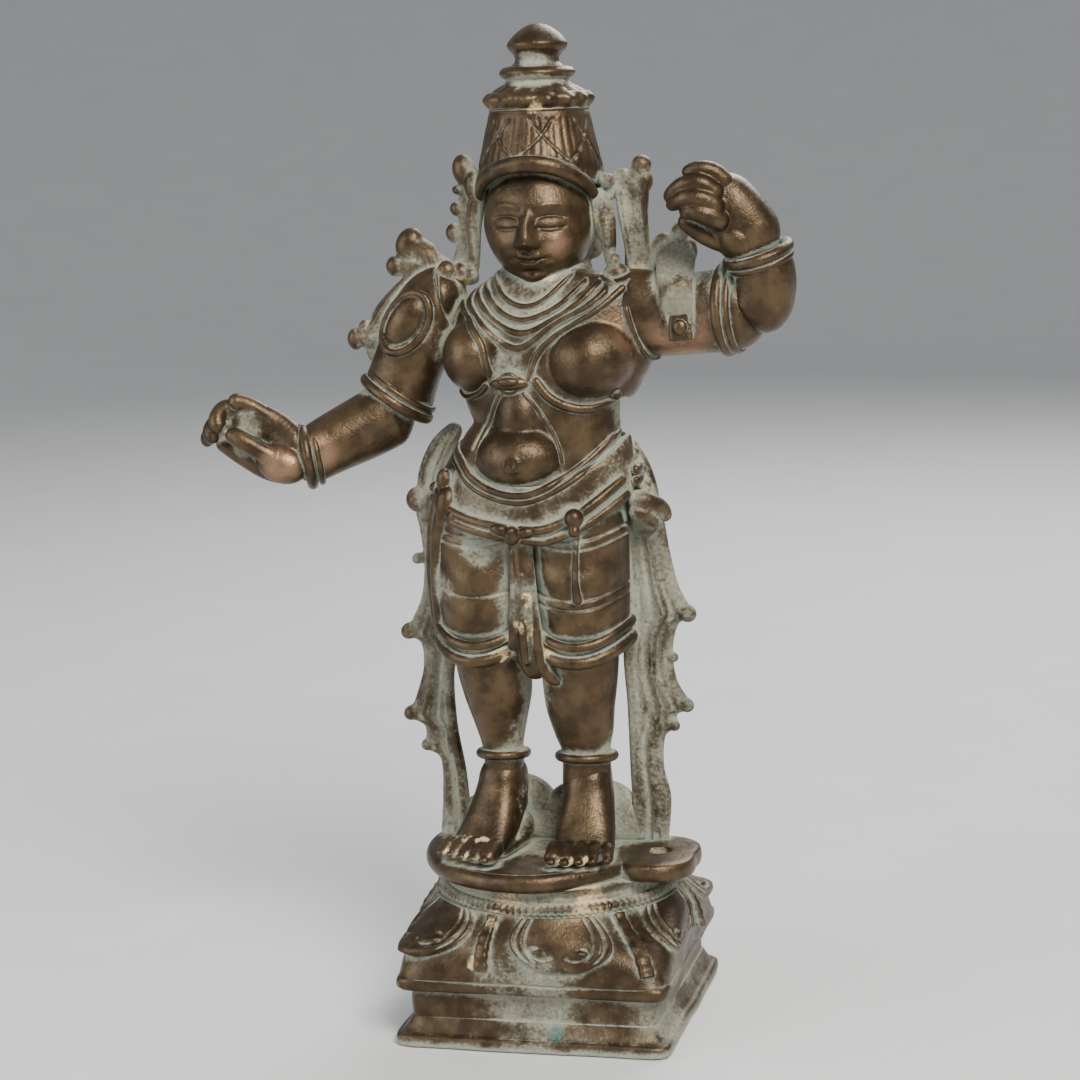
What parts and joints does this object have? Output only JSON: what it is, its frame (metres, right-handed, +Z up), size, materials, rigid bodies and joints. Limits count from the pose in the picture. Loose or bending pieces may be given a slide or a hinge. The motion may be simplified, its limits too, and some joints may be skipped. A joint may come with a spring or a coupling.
{
  "type": "standing deity statue",
  "caption": "Small cast-brass standing temple figure with tall crown, raised and lowered hands, flanking drapes, lotus pedestal on a square plinth, and a side lug with an upright hole.",
  "frame": {"origin": "middle of the plinth's flat underside", "axes": "+Z up; the figure faces -Y; its right hand is at -X and its raised left hand at +X"},
  "size_m": [0.0883, 0.0446, 0.1501],
  "materials": {
    "bronze": "old polished casting, brown on raised parts, grey-green patina in recesses"
  },
  "bodies": {
    "root": {"beaded_ring": "bronze", "belly": "bronze", "chest": "bronze", "chest_band": "bronze", "chest_pendant": "bronze", "collar": "bronze", "crown_drum": "bronze", "crown_finial": "bronze", "crown_lower_ring": "bronze", "crown_step": "bronze", "crown_upper_ring": "bronze", "diadem": "bronze", "front_pleat": "bronze", "girdle": "bronze", "girdle_knots": "bronze", "girdle_sash": "bronze", "girdle_tassel": "bronze", "head": "bronze", "heel_web": "bronze", "hips": "bronze", "left_anklet": "bronze", "left_armlet": "bronze", "left_bangle": "bronze", "left_drape": "bronze", "left_ear_and_hair": "bronze", "left_fingers": "bronze", "left_foot": "bronze", "left_forearm": "bronze", "left_hand": "bronze", "left_hem": "bronze", "left_hip_bows": "bronze", "left_shin": "bronze", "left_shoulder_buds": "bronze", "left_thigh": "bronze", "left_upper_arm": "bronze", "lotus_collar": "bronze", "lotus_drum": "bronze", "lotus_petals": "bronze", "lotus_ribs": "bronze", "plinth_foot": "bronze", "plinth_neck": "bronze", "plinth_slab": "bronze", "right_anklet": "bronze", "right_armlet": "bronze", "right_bangle": "bronze", "right_drape": "bronze", "right_ear_and_hair": "bronze", "right_fingers": "bronze", "right_foot": "bronze", "right_forearm": "bronze", "right_hand": "bronze", "right_hem": "bronze", "right_hip_knob": "bronze", "right_shin": "bronze", "right_shoulder_buds": "bronze", "right_thigh": "bronze", "right_upper_arm": "bronze", "side_lug": "bronze", "standing_plate": "bronze", "waist_cloth": "bronze"}
  },
  "joints": []
}
